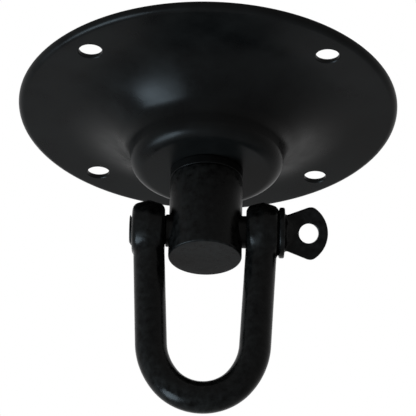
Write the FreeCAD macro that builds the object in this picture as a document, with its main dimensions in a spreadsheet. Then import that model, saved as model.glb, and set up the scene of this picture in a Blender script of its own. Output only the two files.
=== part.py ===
import FreeCAD, Part
import math
import os
import Sketcher

# Driving dimensions, in millimetres and degrees
DIMENSIONS = {
    # Ceiling plate: one pressed sheet with a dome and a turned-up rim
    "plate_diameter": 150.0,
    "sheet_thickness": 2.0,
    "lip_height": 1.2,
    "lip_inner_bend": 0.6,
    "flare_radius": 45.6,
    "flare_bend": 35.0,
    "flare_wall_share": 0.75,
    "neck_radius": 30.9,
    "neck_depth": 13.3,
    "neck_bend": 11.0,
    "dome_floor_radius": 29.3,
    "dome_depth": 25.5,
    "shoulder_bend": 6.0,
    "spindle_hole_diameter": 18.0,
    "screw_edge_distance": 11.5,
    "screw_hole_diameter": 9.0,
    "screw_hole_count": 4,
    "screw_hole_turn": 45.0,
    # Thrust ball bearing on the dome's floor
    "bearing_bore": 17.0,
    "bearing_outside": 30.0,
    "bearing_height": 9.0,
    "race_thickness": 2.75,
    "race_side_step": 0.5,
    "race_chamfer": 0.4,
    "ball_diameter": 4.76,
    "ball_circle": 24.0,
    "ball_count": 12,
    "ball_clearance": 0.1,
    "cage_thickness": 2.4,
    "cage_side_gap": 0.3,
    # Spindle that hangs in the bearing and carries the cross pin
    "spindle_diameter": 28.2,
    "spindle_body_length": 34.3,
    "spindle_edge": 0.8,
    "journal_clearance": 0.02,
    "journal_shortfall": 0.5,
    "thread_diameter": 16.0,
    "thread_chamfer": 1.2,
    "pin_to_spindle_end": 11.7,
    # Washers and nut on the spindle
    "guide_washer_thickness": 3.5,
    "guide_washer_clearance": 0.15,
    "guide_washer_edge": 0.3,
    "dome_running_gap": 0.3,
    "nut_washer_thickness": 2.5,
    "nut_washer_diameter": 30.0,
    "nut_side_count": 6,
    "nut_across_flats": 24.0,
    "nut_hex_height": 7.5,
    "nut_castle_height": 5.0,
    "nut_castle_diameter": 22.0,
    "nut_slot_width": 4.5,
    "nut_slot_count": 6,
    "nut_corner_drop": 1.6,
    "cut_margin": 1.0,
    "nut_thread_clearance": 0.05,
    "spindle_below_nut_top": 0.3,
    # Split pin through the nut's slots
    "split_pin_wire": 1.5,
    "split_pin_leg_gap": 0.1,
    "split_pin_hole_diameter": 3.5,
    "split_pin_depth": 3.1,
    "split_pin_eye_radius": 2.2,
    "split_pin_bend_radius": 1.5,
    "split_pin_nut_gap": 0.4,
    "split_pin_tail": 4.5,
    # Forged shackle
    "rod_diameter": 12.0,
    "leg_offset": 21.9,
    "leg_lean": 2.85,
    "bow_depth": 70.1,
    "bow_tip_radius": 17.6,
    "bow_side_radius": 26.0,
    "eye_diameter": 23.4,
    "eye_width": 12.6,
    "eye_draft": 16.0,
    "eye_rim_round": 3.0,
    "eye_ridge_round": 1.5,
    "eye_leg_blend": 7.0,
    "hole_edge": 0.5,
    # Screw pin with its wing
    "pin_diameter": 12.5,
    "pin_thread_diameter": 12.0,
    "pin_clearance": 0.1,
    "pin_end_stand": 1.0,
    "pin_end_chamfer": 1.2,
    "pin_shoulder_gap": 0.3,
    "pin_collar_gap": 0.1,
    "pin_collar_diameter": 19.6,
    "pin_collar_width": 2.1,
    "pin_collar_edge": 0.6,
    "pin_neck_radius": 6.6,
    "pin_neck_blend": 1.8,
    "pin_neck_taper": 5.4,
    "wing_thickness": 5.5,
    "wing_flank_length": 10.3,
    "wing_corner_height": 10.5,
    "wing_length": 16.7,
    "wing_corner_round": 1.4,
    "wing_edge_round": 1.1,
    "wing_hole_diameter": 7.6,
    "wing_hole_offset": 9.3,
    "wing_tilt": 29.0,
}

SHEET_NAME = "Sizes"
ORIGIN, H_AXIS, V_AXIS = (-1, -1, -2)
START, END, CENTRE = (1, 2, 3)
TINY = 1e-9
CLOSE = 1e-3
FULL_TURN_ANGLE = 360
HALVING_COUNT = 60

# Levels along the plate's axis, as expressions; zero is the plate's face towards the ceiling
FLOOR_OUTSIDE = "(-Sizes.sheet_thickness - Sizes.dome_depth)"
FLOOR_INSIDE = "(-Sizes.dome_depth)"
BEARING_TOP = f"({FLOOR_INSIDE} + Sizes.bearing_height)"
NUT_SEAT = f"({BEARING_TOP} + Sizes.nut_washer_thickness)"
NUT_TOP = f"({NUT_SEAT} + Sizes.nut_hex_height + Sizes.nut_castle_height)"
GUIDE_WASHER_TOP = f"({FLOOR_OUTSIDE} - Sizes.dome_running_gap)"
SPINDLE_SHOULDER = f"({GUIDE_WASHER_TOP} - Sizes.guide_washer_thickness)"
SPINDLE_END = f"({SPINDLE_SHOULDER} - Sizes.spindle_body_length)"
PIN_AXIS = f"({SPINDLE_END} + Sizes.pin_to_spindle_end)"
SPLIT_PIN_AXIS = f"({NUT_TOP} - Sizes.split_pin_depth)"

# Places along the pin's axis, as expressions
EYE_INSIDE = "(Sizes.leg_offset - Sizes.eye_width / 2)"
EYE_OUTSIDE = "(Sizes.leg_offset + Sizes.eye_width / 2)"
COLLAR_START = f"({EYE_OUTSIDE} + Sizes.pin_collar_gap)"
COLLAR_END = f"({COLLAR_START} + Sizes.pin_collar_width)"

doc = FreeCAD.newDocument("ceiling_hook")
sheet = doc.addObject("Spreadsheet::Sheet", SHEET_NAME)
for row, (alias, number) in enumerate(DIMENSIONS.items(), start=1):
    sheet.set(f"A{row}", alias)
    sheet.set(f"B{row}", str(number))
    sheet.setAlias(f"B{row}", alias)
doc.recompute()

nodes = []


def size(expression):
    """Value of an expression over the sheet's sizes."""
    result = sheet.evalExpression(str(expression))
    return float(getattr(result, "Value", result))


def new_body(label, height="0"):
    """Empty body that stands at the given height on the plate's axis."""
    body = doc.addObject("PartDesign::Body", label)
    body.Label = label
    body.setExpression("Placement.Base.z", height)
    nodes.append(body)
    doc.recompute()
    return body


def new_sketch(body, name, plane):
    """Sketch on one of the body's own origin planes."""
    sketch = body.newObject("Sketcher::SketchObject", name)
    support = next(item for item in body.Origin.OriginFeatures if item.Role == plane)
    sketch.AttachmentSupport = [(support, "")]
    sketch.MapMode = "FlatFace"
    return sketch


def bind(sketch, kind, *geometry, to):
    """Constraint whose value follows an expression."""
    number = size(to)
    if kind == "Angle":
        number = math.radians(number)
    index = sketch.addConstraint(Sketcher.Constraint(kind, *geometry, number))
    sketch.setExpression(f"Constraints[{index}]", f"{to} * 1 deg" if kind == "Angle" else str(to))


def hold(sketch, geometry, point, across, up):
    """Place a point of a sketch by its two coordinates."""
    for kind, axis, expression in (("DistanceX", V_AXIS, across), ("DistanceY", H_AXIS, up)):
        if abs(size(expression)) < TINY:
            sketch.addConstraint(Sketcher.Constraint("PointOnObject", geometry, point, axis))
        else:
            bind(sketch, kind, ORIGIN, START, geometry, point, to=expression)


def outline(sketch, corners):
    """Closed outline through corners given as expressions; a third value rounds a corner."""
    places = [FreeCAD.Vector(size(corner[0]), size(corner[1]), 0) for corner in corners]
    count = len(places)
    starts = list(places)
    ends = list(places)
    arcs = {}
    for index, (_, _, *rounding) in enumerate(corners):
        if rounding:
            radius = size(rounding[0])
            back = (places[index - 1] - places[index]).normalize()
            onward = (places[(index + 1) % count] - places[index]).normalize()
            half_angle = back.getAngle(onward) / 2
            cut = radius / math.tan(half_angle)
            inward = (back + onward).normalize() * (radius / math.sin(half_angle) - radius)
            ends[index] = places[index] + back * cut
            starts[index] = places[index] + onward * cut
            arcs[index] = Part.Arc(ends[index], places[index] + inward, starts[index])
    for index in range(count):
        sketch.addGeometry(Part.LineSegment(starts[index], ends[(index + 1) % count]), False)
    for index, (across, up, *rounding) in enumerate(corners):
        previous = (index - 1) % count
        if not rounding:
            sketch.addConstraint(Sketcher.Constraint("Coincident", previous, END, index, START))
            hold(sketch, index, START, across, up)
            continue
        corner = sketch.addGeometry(Part.Point(places[index]), True)
        hold(sketch, corner, START, across, up)
        sketch.addConstraint(Sketcher.Constraint("PointOnObject", corner, START, previous))
        sketch.addConstraint(Sketcher.Constraint("PointOnObject", corner, START, index))
        arc = sketch.addGeometry(arcs[index], False)
        first, last = (START, END) if meets(sketch, arc, START, previous, END) else (END, START)
        sketch.addConstraint(Sketcher.Constraint("Tangent", previous, END, arc, first))
        sketch.addConstraint(Sketcher.Constraint("Tangent", index, START, arc, last))
        bind(sketch, "Radius", arc, to=rounding[0])


def meets(sketch, geometry, point, other, other_point):
    """True where two points of a sketch lie together."""
    place = sketch.getPoint(geometry, point)
    return place.distanceToPoint(sketch.getPoint(other, other_point)) < CLOSE


def disc(sketch, across, up, radius):
    """Circle given by its centre and radius."""
    centre = FreeCAD.Vector(size(across), size(up), 0)
    index = sketch.addGeometry(Part.Circle(centre, FreeCAD.Vector(0, 0, 1), size(radius)), False)
    hold(sketch, index, CENTRE, across, up)
    bind(sketch, "Radius", index, to=radius)


def revolve(body, name, sketch, axis="V_Axis", cut=False):
    """Full turn of a sketch about one of its axes, added or cut away."""
    kind = "PartDesign::Groove" if cut else "PartDesign::Revolution"
    feature = body.newObject(kind, name)
    feature.Profile = sketch
    feature.ReferenceAxis = (sketch, [axis])
    feature.Angle = FULL_TURN_ANGLE
    doc.recompute()
    return feature


def pad(body, name, sketch, length, symmetric=False):
    """Straight extrusion of a sketch."""
    feature = body.newObject("PartDesign::Pad", name)
    feature.Profile = sketch
    feature.SideType = "Symmetric" if symmetric else "One side"
    feature.setExpression("Length", length)
    doc.recompute()
    return feature


def pocket(body, name, sketch, both_ways=True, reverse=False):
    """Cut of a sketch right through the body."""
    feature = body.newObject("PartDesign::Pocket", name)
    feature.Profile = sketch
    feature.Type = "ThroughAll"
    feature.SideType = "Symmetric" if both_ways else "One side"
    feature.Reversed = reverse
    doc.recompute()
    return feature


def polar(body, name, original, axis_sketch, count):
    """Copies of a feature, evenly spaced about the body's axis."""
    feature = body.newObject("PartDesign::PolarPattern", name)
    feature.Originals = [original]
    feature.Axis = (axis_sketch, ["N_Axis"])
    feature.Angle = FULL_TURN_ANGLE
    feature.setExpression("Occurrences", count)
    body.Tip = feature
    doc.recompute()
    return feature


def circle_edges(feature, axis, radius, level):
    """Names of the round edges about an axis with the given radius and level on it."""
    names = []
    for index, edge in enumerate(feature.Shape.Edges, start=1):
        if not isinstance(edge.Curve, Part.Circle):
            continue
        centre = edge.Curve.Center
        across = [value for key, value in zip("xyz", centre) if key != axis]
        on_axis = max(abs(value) for value in across) < CLOSE
        right_level = abs(getattr(centre, axis) - size(level)) < CLOSE
        if on_axis and right_level and abs(edge.Curve.Radius - size(radius)) < CLOSE:
            names.append(f"Edge{index}")
    return names


def fillet(body, name, feature, edges, radius):
    """Rounded edges."""
    rounding = body.newObject("PartDesign::Fillet", name)
    rounding.Base = (feature, edges)
    rounding.setExpression("Radius", radius)
    doc.recompute()
    return rounding


def chamfer(body, name, feature, edges, width):
    """Bevelled edges."""
    bevel = body.newObject("PartDesign::Chamfer", name)
    bevel.Base = (feature, edges)
    bevel.setExpression("Size", width)
    doc.recompute()
    return bevel


def turned(label, height, corners):
    """Body turned about the plate's axis from an outline of corners."""
    body = new_body(label, height)
    sketch = new_sketch(body, f"{label}_outline", "XZ_Plane")
    outline(sketch, corners)
    feature = revolve(body, f"{label}_turning", sketch)
    return body, feature


def washer(label, height, inside, outside, thickness):
    """Flat ring that starts at the given height."""
    corners = [(inside, "0"), (outside, "0"), (outside, thickness), (inside, thickness)]
    return turned(label, height, corners)


# Ceiling plate
def make_ceiling_plate():
    room_face = "(-Sizes.sheet_thickness)"
    neck_level = f"({room_face} - Sizes.neck_depth)"
    rim = "Sizes.plate_diameter / 2"
    corners = [
        ("0", FLOOR_OUTSIDE),
        ("Sizes.dome_floor_radius", FLOOR_OUTSIDE),
        ("Sizes.neck_radius", neck_level),
        ("Sizes.flare_radius", room_face),
        (rim, room_face),
        (rim, "Sizes.lip_height"),
        ("0", "Sizes.lip_height"),
    ]
    body, feature = turned("ceiling_plate", "0", corners)
    # The flare's bend ends on the wall that leans out from the neck, and leaves room there for the neck's bend
    flare_width = "(Sizes.flare_radius - Sizes.neck_radius)"
    wall = f"sqrt({flare_width} ^ 2 + Sizes.neck_depth ^ 2)"
    half_turn = f"(atan(Sizes.neck_depth / {flare_width}) / 2)"
    flare_bend = f"min(Sizes.flare_bend; Sizes.flare_wall_share * {wall} / tan({half_turn}))"
    bends = (
        ("shoulder", "Sizes.dome_floor_radius", FLOOR_OUTSIDE, "Sizes.shoulder_bend"),
        ("neck", "Sizes.neck_radius", neck_level, "Sizes.neck_bend"),
        ("flare", "Sizes.flare_radius", room_face, flare_bend),
        ("lip", rim, room_face, "Sizes.lip_inner_bend + Sizes.sheet_thickness"),
    )
    for name, radius, level, bend in bends:
        edges = circle_edges(feature, "z", radius, level)
        feature = fillet(body, f"{name}_round", feature, edges, bend)
    top = max(range(len(feature.Shape.Faces)), key=lambda i: feature.Shape.Faces[i].CenterOfMass.z)
    sheet_shell = body.newObject("PartDesign::Thickness", "pressed_sheet")
    sheet_shell.Base = (feature, [f"Face{top + 1}"])
    sheet_shell.Mode = "Skin"
    sheet_shell.Join = "Intersection"
    sheet_shell.Reversed = True
    sheet_shell.setExpression("Value", "Sizes.sheet_thickness")
    doc.recompute()
    spindle_hole = new_sketch(body, "spindle_hole_outline", "XY_Plane")
    disc(spindle_hole, "0", "0", "Sizes.spindle_hole_diameter / 2")
    pocket(body, "spindle_hole", spindle_hole)
    screw_hole = new_sketch(body, "screw_hole_outline", "XY_Plane")
    across = "(Sizes.plate_diameter / 2 - Sizes.screw_edge_distance) * cos(Sizes.screw_hole_turn * 1 deg)"
    up = "(Sizes.plate_diameter / 2 - Sizes.screw_edge_distance) * sin(Sizes.screw_hole_turn * 1 deg)"
    disc(screw_hole, across, up, "Sizes.screw_hole_diameter / 2")
    first_hole = pocket(body, "screw_hole", screw_hole)
    polar(body, "screw_holes", first_hole, screw_hole, "Sizes.screw_hole_count")


# Thrust ball bearing
def make_race(label, height, inside, outside, groove_level):
    """Bearing washer with a rolling groove."""
    body, feature = washer(label, height, inside, outside, "Sizes.race_thickness")
    edges = circle_edges(feature, "z", outside, "0")
    edges += circle_edges(feature, "z", outside, "Sizes.race_thickness")
    chamfer(body, f"{label}_edges", feature, edges, "Sizes.race_chamfer")
    groove = new_sketch(body, f"{label}_groove_outline", "XZ_Plane")
    disc(groove, "Sizes.ball_circle / 2", groove_level, "Sizes.ball_diameter / 2 + Sizes.ball_clearance")
    revolve(body, f"{label}_groove", groove, cut=True)


def make_bearing():
    half_height = "Sizes.bearing_height / 2"
    shaft_race_level = f"({BEARING_TOP} - Sizes.race_thickness)"
    ball_level = f"({FLOOR_INSIDE} + {half_height})"
    make_race(
        "bearing_housing_race",
        FLOOR_INSIDE,
        "Sizes.bearing_bore / 2 + Sizes.race_side_step",
        "Sizes.bearing_outside / 2",
        half_height,
    )
    make_race(
        "bearing_shaft_race",
        shaft_race_level,
        "Sizes.bearing_bore / 2",
        "Sizes.bearing_outside / 2 - Sizes.race_side_step",
        f"Sizes.race_thickness - {half_height}",
    )
    cage_bottom = f"({ball_level} - Sizes.cage_thickness / 2)"
    pocket_radius = "(Sizes.ball_diameter / 2 + Sizes.ball_clearance)"
    cage, ring = washer(
        "bearing_cage",
        cage_bottom,
        f"Sizes.ball_circle / 2 - {pocket_radius} - Sizes.cage_side_gap",
        f"Sizes.ball_circle / 2 + {pocket_radius} + Sizes.cage_side_gap",
        "Sizes.cage_thickness",
    )
    ball_pocket = new_sketch(cage, "ball_pocket_outline", "XY_Plane")
    disc(ball_pocket, "Sizes.ball_circle / 2", "0", pocket_radius)
    first_pocket = pocket(cage, "ball_pocket", ball_pocket)
    polar(cage, "ball_pockets", first_pocket, ball_pocket, "Sizes.ball_count")
    for number in range(round(size("Sizes.ball_count"))):
        ball = doc.addObject("Part::Sphere", f"bearing_ball_{number + 1:02d}")
        ball.Label = f"bearing_ball_{number + 1:02d}"
        ball.setExpression("Radius", "Sizes.ball_diameter / 2")
        turn = f"({number} * {FULL_TURN_ANGLE} deg / Sizes.ball_count)"
        ball.setExpression("Placement.Base.x", f"Sizes.ball_circle / 2 * cos({turn})")
        ball.setExpression("Placement.Base.y", f"Sizes.ball_circle / 2 * sin({turn})")
        ball.setExpression("Placement.Base.z", ball_level)
        nodes.append(ball)
    doc.recompute()


# Spindle
def make_spindle():
    journal = "Sizes.bearing_bore / 2 - Sizes.journal_clearance"
    thread = "Sizes.thread_diameter / 2"
    shoulder = "Sizes.spindle_body_length"
    journal_end = f"({BEARING_TOP} - Sizes.journal_shortfall - {SPINDLE_END})"
    tip = f"({NUT_TOP} - Sizes.spindle_below_nut_top - {SPINDLE_END})"
    corners = [
        ("0", "0"),
        ("Sizes.spindle_diameter / 2", "0"),
        ("Sizes.spindle_diameter / 2", shoulder),
        (journal, shoulder),
        (journal, journal_end),
        (thread, journal_end),
        (thread, f"{tip} - Sizes.thread_chamfer"),
        (f"{thread} - Sizes.thread_chamfer", tip),
        ("0", tip),
    ]
    body, feature = turned("spindle", SPINDLE_END, corners)
    edges = circle_edges(feature, "z", "Sizes.spindle_diameter / 2", "0")
    edges += circle_edges(feature, "z", "Sizes.spindle_diameter / 2", shoulder)
    chamfer(body, "spindle_edges", feature, edges, "Sizes.spindle_edge")
    cross_hole = new_sketch(body, "cross_hole_outline", "YZ_Plane")
    disc(cross_hole, "0", "Sizes.pin_to_spindle_end", "Sizes.pin_diameter / 2 + Sizes.pin_clearance")
    pocket(body, "cross_hole", cross_hole)
    split_hole = new_sketch(body, "split_pin_hole_outline", "YZ_Plane")
    disc(split_hole, "0", f"{SPLIT_PIN_AXIS} - {SPINDLE_END}", "Sizes.split_pin_hole_diameter / 2")
    pocket(body, "split_pin_hole", split_hole)


# Washers on the spindle
def make_washers():
    outside = "Sizes.spindle_diameter / 2"
    body, feature = washer(
        "guide_washer",
        SPINDLE_SHOULDER,
        "Sizes.bearing_bore / 2 + Sizes.guide_washer_clearance",
        outside,
        "Sizes.guide_washer_thickness",
    )
    edges = circle_edges(feature, "z", outside, "0")
    edges += circle_edges(feature, "z", outside, "Sizes.guide_washer_thickness")
    chamfer(body, "guide_washer_edges", feature, edges, "Sizes.guide_washer_edge")
    washer(
        "nut_washer",
        BEARING_TOP,
        "Sizes.thread_diameter / 2 + Sizes.guide_washer_clearance",
        "Sizes.nut_washer_diameter / 2",
        "Sizes.nut_washer_thickness",
    )


# Castle nut
def make_castle_nut():
    body = new_body("castle_nut", NUT_SEAT)
    hexagon = new_sketch(body, "hexagon_outline", "XY_Plane")
    side_count = round(size("Sizes.nut_side_count"))
    side_turn = FULL_TURN_ANGLE / side_count
    corner = f"(Sizes.nut_across_flats / 2 / cos({side_turn / 2} deg))"
    turns = [f"({side_turn * (number + 0.5)} deg)" for number in range(side_count)]
    outline(hexagon, [(f"{corner} * cos{turn}", f"{corner} * sin{turn}") for turn in turns])
    pad(body, "hexagon", hexagon, "Sizes.nut_hex_height")
    bevels = new_sketch(body, "corner_bevel_outline", "XZ_Plane")
    flat = "Sizes.nut_across_flats / 2"
    beyond = f"({corner} + Sizes.cut_margin)"
    slope = f"(({beyond} - {flat}) * Sizes.nut_corner_drop / ({corner} - {flat}))"
    top = "Sizes.nut_hex_height"
    outline(bevels, [(flat, top), (beyond, f"{top} - {slope}"), (beyond, top)])
    revolve(body, "corner_bevel", bevels, cut=True)
    castle = new_sketch(body, "castle_outline", "XY_Plane")
    disc(castle, "0", "0", "Sizes.nut_castle_diameter / 2")
    pad(body, "castle", castle, "Sizes.nut_hex_height + Sizes.nut_castle_height")
    bore = new_sketch(body, "thread_bore_outline", "XY_Plane")
    disc(bore, "0", "0", "Sizes.thread_diameter / 2 + Sizes.nut_thread_clearance")
    pocket(body, "thread_bore", bore)
    slot = new_sketch(body, "slot_outline", "YZ_Plane")
    half = "Sizes.nut_slot_width / 2"
    above = "(Sizes.nut_hex_height + Sizes.nut_castle_height + Sizes.cut_margin)"
    outline(slot, [(f"-{half}", top), (half, top), (half, above), (f"-{half}", above)])
    first_slot = pocket(body, "slot", slot, both_ways=False, reverse=True)
    polar(body, "slots", first_slot, hexagon, "Sizes.nut_slot_count")


# Split pin, bent from one wire: an eye, two legs side by side and two turned-out tails
def make_split_pin():
    wire = size("Sizes.split_pin_wire")
    leg = (wire + size("Sizes.split_pin_leg_gap")) / 2
    reach = size("Sizes.nut_castle_diameter / 2 + Sizes.split_pin_nut_gap")
    bend = size("Sizes.split_pin_bend_radius")
    eye = size("Sizes.split_pin_eye_radius")
    tail = size("Sizes.split_pin_tail")
    neck_angle = math.acos((leg + bend) / (eye + bend))
    neck_x = -reach - wire / 2
    eye_x = neck_x - (eye + bend) * math.sin(neck_angle)
    touch = FreeCAD.Vector(eye_x + eye * math.sin(neck_angle), eye * math.cos(neck_angle), 0)
    half_turn = neck_angle / 2
    neck_middle = FreeCAD.Vector(
        neck_x - bend * math.sin(half_turn), leg + bend - bend * math.cos(half_turn), 0
    )
    corner_x = reach + wire / 2
    middle_share = math.sqrt(0.5)

    def side(sign):
        """Leg from the eye to its tail on one side of the middle line."""
        def at(x, y):
            return FreeCAD.Vector(x, sign * y, 0)

        start = at(touch.x, touch.y)
        neck_end = at(neck_x, leg)
        corner = at(corner_x, leg)
        turned_out = at(corner_x + bend, leg + bend)
        corner_middle = at(corner_x + bend * middle_share, leg + bend * (1 - middle_share))
        tail_end = at(corner_x + bend, leg + bend + tail)
        return [
            Part.Arc(start, at(neck_middle.x, neck_middle.y), neck_end).toShape(),
            Part.LineSegment(neck_end, corner).toShape(),
            Part.Arc(corner, corner_middle, turned_out).toShape(),
            Part.LineSegment(turned_out, tail_end).toShape(),
        ], tail_end

    upper, tail_end = side(1)
    lower, _ = side(-1)
    back = FreeCAD.Vector(eye_x - eye, 0, 0)
    mirror_touch = FreeCAD.Vector(touch.x, -touch.y, 0)
    loop = Part.Arc(touch, back, mirror_touch).toShape()
    path = Part.Wire(upper[::-1] + [loop] + lower)
    section = Part.Wire(Part.Circle(tail_end, FreeCAD.Vector(0, 1, 0), wire / 2).toShape())
    split_pin = doc.addObject("Part::Feature", "split_pin")
    split_pin.Label = "split_pin"
    split_pin.Shape = path.makePipeShell([section], True, False)
    split_pin.Placement = FreeCAD.Placement(
        FreeCAD.Vector(0, 0, size(SPLIT_PIN_AXIS)), FreeCAD.Rotation()
    )
    nodes.append(split_pin)


# Shackle
def unmerged(feature):
    """The same feature with its faces left as they were built, so that blends on them hold."""
    feature.Refine = False
    feature.touch()
    doc.recompute()
    return feature


def bow_path(sketch):
    """Half of the bow's centre line: tip arc, side arc and leaning leg."""
    depth = size("Sizes.bow_depth")
    tip_radius = size("Sizes.bow_tip_radius")
    side_radius = size("Sizes.bow_side_radius")
    lean = math.radians(size("Sizes.leg_lean"))
    offset = size("Sizes.leg_offset")
    spread = side_radius - tip_radius

    def width_error(turn):
        drop = depth - tip_radius - spread * math.cos(turn) + side_radius * math.sin(lean)
        touch_x = side_radius * math.cos(lean) - spread * math.sin(turn)
        return touch_x + drop * math.tan(lean) - offset

    low = 0.0
    high = math.pi / 2
    for _ in range(HALVING_COUNT):
        middle = (low + high) / 2
        if width_error(middle) > 0:
            low = middle
        else:
            high = middle
    join_turn = (low + high) / 2
    down = -math.pi / 2
    axis = FreeCAD.Vector(0, 0, 1)
    tip_centre = FreeCAD.Vector(0, tip_radius - depth, 0)
    join_way = FreeCAD.Vector(math.sin(join_turn), -math.cos(join_turn), 0)
    side_centre = tip_centre - join_way * spread
    touch = side_centre + FreeCAD.Vector(math.cos(lean), -math.sin(lean), 0) * side_radius
    tip_arc = Part.ArcOfCircle(Part.Circle(tip_centre, axis, tip_radius), down, down + join_turn)
    side_arc = Part.ArcOfCircle(Part.Circle(side_centre, axis, side_radius), down + join_turn, -lean)
    leg_line = Part.LineSegment(touch, FreeCAD.Vector(offset, 0, 0))
    tip, side, leg = (sketch.addGeometry(item, False) for item in (tip_arc, side_arc, leg_line))
    hold(sketch, tip, START, "0", "-Sizes.bow_depth")
    sketch.addConstraint(Sketcher.Constraint("PointOnObject", tip, CENTRE, V_AXIS))
    sketch.addConstraint(Sketcher.Constraint("Tangent", tip, END, side, START))
    sketch.addConstraint(Sketcher.Constraint("Tangent", side, END, leg, START))
    bind(sketch, "Radius", tip, to="Sizes.bow_tip_radius")
    bind(sketch, "Radius", side, to="Sizes.bow_side_radius")
    hold(sketch, leg, END, "Sizes.leg_offset", "0")


def make_shackle():
    body = new_body("shackle_bow", PIN_AXIS)
    ridge_radius = "Sizes.eye_diameter / 2"
    face_radius = f"({ridge_radius} - Sizes.eye_width / 2 * tan(Sizes.eye_draft * 1 deg))"
    eye = new_sketch(body, "eye_outline", "XZ_Plane")
    outline(eye, [
        (EYE_INSIDE, "0"),
        (EYE_OUTSIDE, "0"),
        (EYE_OUTSIDE, face_radius),
        ("Sizes.leg_offset", ridge_radius),
        (EYE_INSIDE, face_radius),
    ])
    feature = unmerged(revolve(body, "eye", eye, axis="H_Axis"))
    rims = circle_edges(feature, "x", face_radius, EYE_INSIDE)
    rims += circle_edges(feature, "x", face_radius, EYE_OUTSIDE)
    feature = unmerged(fillet(body, "eye_rims", feature, rims, "Sizes.eye_rim_round"))
    ridge = circle_edges(feature, "x", ridge_radius, "Sizes.leg_offset")
    unmerged(fillet(body, "eye_ridge", feature, ridge, "Sizes.eye_ridge_round"))
    path = new_sketch(body, "bow_path", "XZ_Plane")
    bow_path(path)
    section = new_sketch(body, "rod_section", "YZ_Plane")
    disc(section, "0", "-Sizes.bow_depth", "Sizes.rod_diameter / 2")
    doc.recompute()
    bow = body.newObject("PartDesign::AdditivePipe", "half_bow")
    bow.Profile = section
    bow.Spine = path
    unmerged(bow)
    whole = body.newObject("PartDesign::Mirrored", "other_half")
    whole.TransformMode = "Whole shape"
    whole.MirrorPlane = (path, ["V_Axis"])
    body.Tip = whole
    unmerged(whole)
    junction = [
        f"Edge{index}"
        for index, edge in enumerate(whole.Shape.Edges, start=1)
        if not isinstance(edge.Curve, (Part.Circle, Part.Line)) and edge.CenterOfMass.z < 0
    ]
    unmerged(fillet(body, "eye_blends", whole, junction, "Sizes.eye_leg_blend"))
    margin = "Sizes.cut_margin"
    edge = "Sizes.hole_edge"
    for name, side, diameter in (
        ("plain", "", "Sizes.pin_diameter"),
        ("threaded", "-", "Sizes.pin_thread_diameter"),
    ):
        radius = f"({diameter} / 2 + Sizes.pin_clearance)"
        wide = f"({radius} + {edge} + {margin})"
        hole = new_sketch(body, f"{name}_hole_outline", "XZ_Plane")
        outline(hole, [
            (f"{side}({EYE_INSIDE} - {margin})", "0"),
            (f"{side}({EYE_INSIDE} - {margin})", wide),
            (f"{side}({EYE_INSIDE} + {edge})", radius),
            (f"{side}({EYE_OUTSIDE} - {edge})", radius),
            (f"{side}({EYE_OUTSIDE} + {margin})", wide),
            (f"{side}({EYE_OUTSIDE} + {margin})", "0"),
        ])
        unmerged(revolve(body, f"{name}_hole", hole, axis="H_Axis", cut=True))


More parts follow.
